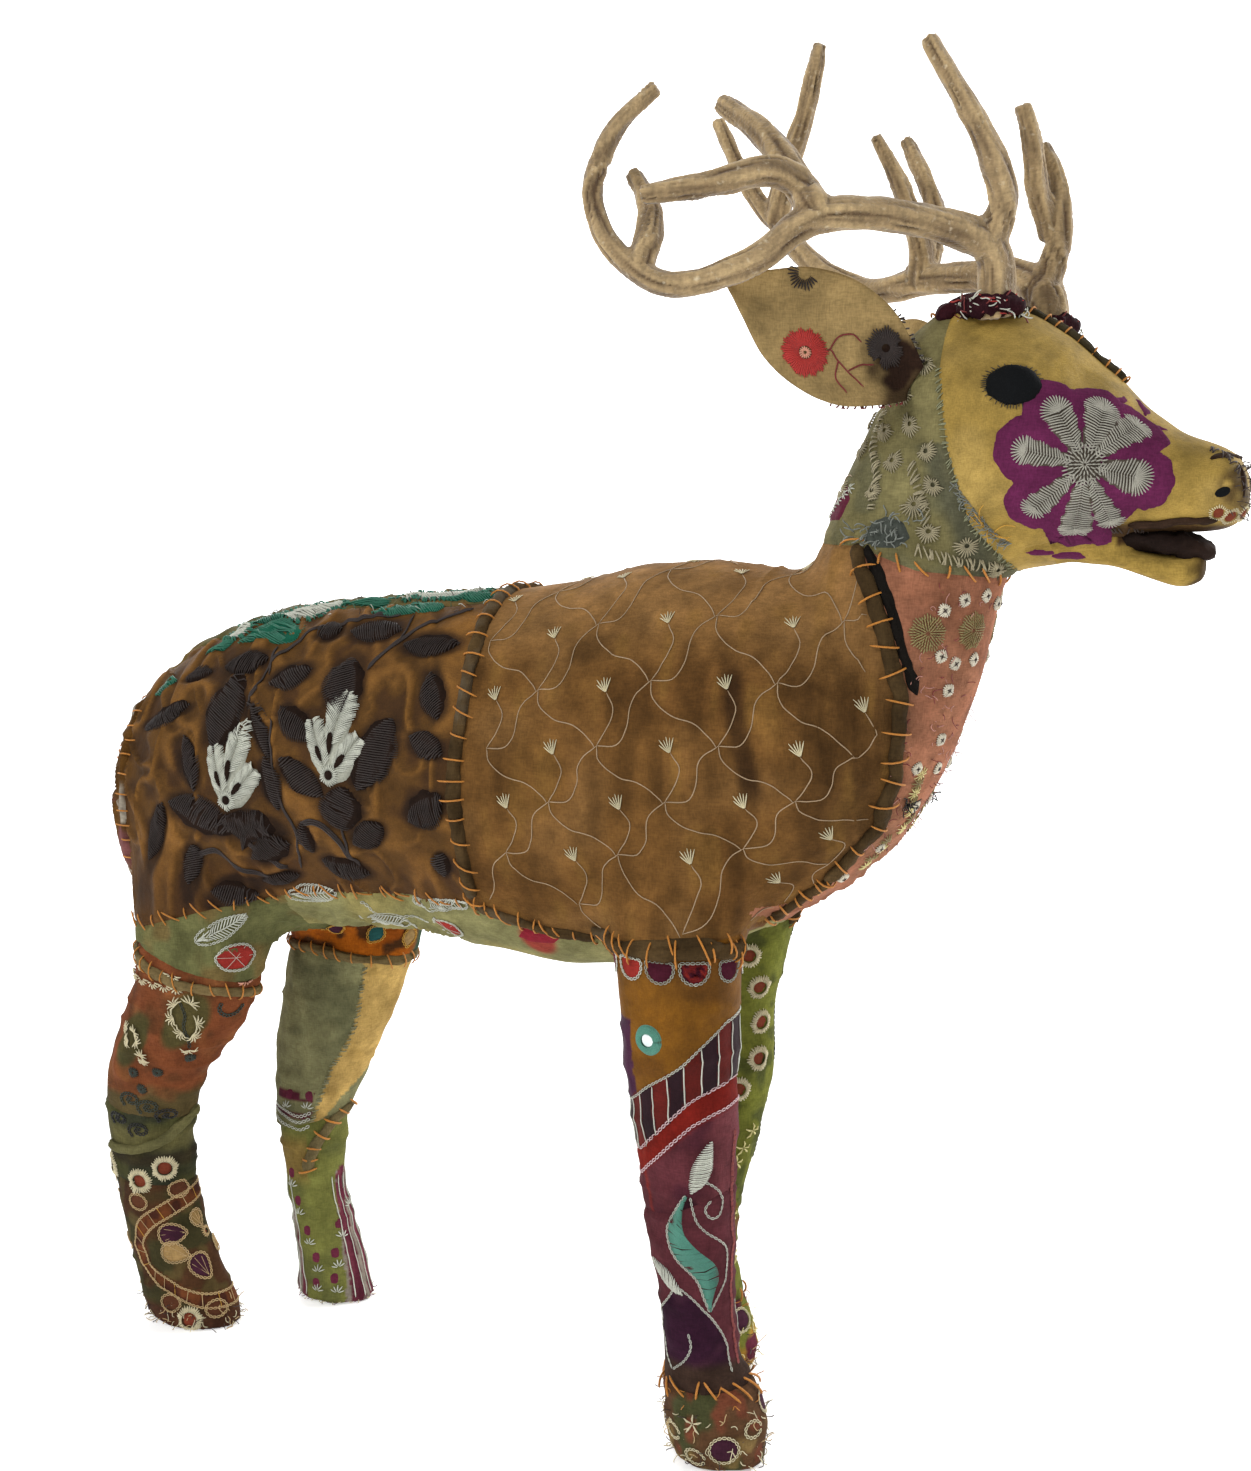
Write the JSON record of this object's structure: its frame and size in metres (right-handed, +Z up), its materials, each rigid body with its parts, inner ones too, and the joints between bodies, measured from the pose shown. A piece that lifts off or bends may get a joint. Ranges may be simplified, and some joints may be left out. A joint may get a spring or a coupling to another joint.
{
  "type": "standing stag figure",
  "caption": "Standing stag figure of papier-mache over wire, covered in a patchwork of embroidered cloth, with cloth-wrapped branching antlers.",
  "frame": {"origin": "the middle of the footprint of the whole figure, on the ground under the soles", "axes": "+X the way the nose points, +Y to the stag's left, +Z up"},
  "size_m": [0.666, 0.217, 0.7488],
  "materials": {
    "antler": "tan cloth strips wound on wire",
    "appliqueBrown": "woven cloth with embroidery",
    "binding": "rolled cloth",
    "black": "matt black",
    "brown": "woven cloth with embroidery",
    "ear": "embroidered cloth",
    "jade": "woven cloth with embroidery",
    "maroon": "woven cloth with embroidery",
    "mirror": "small shisha mirror",
    "mustard": "woven cloth with embroidery",
    "olive": "woven cloth with embroidery",
    "orange": "woven cloth with embroidery",
    "papier": "matt papier-mache",
    "plum": "woven cloth with embroidery",
    "rust": "woven cloth with embroidery",
    "steel": "dull wire"
  },
  "bodies": {
    "root": {"spine_rod": "steel", "antler_wire": "steel", "leg_rod_front_right": "steel", "leg_rod_front_left": "steel", "leg_rod_rear_right": "steel", "leg_rod_rear_left": "steel", "torso_form": "papier", "head_form": "papier", "neck_form": "papier", "jaw_form": "papier", "leg_form_front_right": "papier", "leg_form_front_left": "papier", "leg_form_rear_right": "papier", "leg_form_rear_left": "papier", "antler_right_beam": "antler", "antler_right_brow": "antler", "antler_right_fork": "antler", "antler_left_beam": "antler", "antler_left_brow": "antler", "antler_left_mid_tine": "antler", "antler_left_outer_tine": "antler", "antler_left_back_tine": "antler", "antler_wrap_right": "maroon", "antler_wrap_left": "maroon", "ear_right": "ear", "ear_left": "ear", "tail": "rust", "waist_binding": "binding", "collar_binding_right": "binding", "collar_binding_left": "binding", "brow_binding": "binding", "eye_right": "black", "eye_left": "black", "shisha_mirror": "mirror", "side_panel_right": "brown", "side_panel_left": "brown", "rump_panel_right": "appliqueBrown", "rump_panel_left": "appliqueBrown", "back_panel": "jade", "rump_end_panel": "rust", "belly_panel": "olive", "chest_panel": "rust", "neck_panel": "olive", "face_panel_right": "mustard", "face_panel_left": "mustard", "jaw_cover": "mustard", "front_right_upper_sleeve": "plum", "front_right_middle_sleeve": "maroon", "front_right_lower_sleeve": "plum", "front_right_hoof_cover": "appliqueBrown", "front_left_upper_sleeve": "olive", "front_left_lower_sleeve": "mustard", "front_left_hoof_cover": "mustard", "rear_right_thigh_sleeve": "olive", "rear_right_shank_sleeve": "rust", "rear_right_hock_cuff": "olive", "rear_right_lower_sleeve": "appliqueBrown", "rear_left_thigh_sleeve": "olive", "rear_left_shank_sleeve": "orange", "rear_left_lower_sleeve": "olive"}
  },
  "joints": []
}
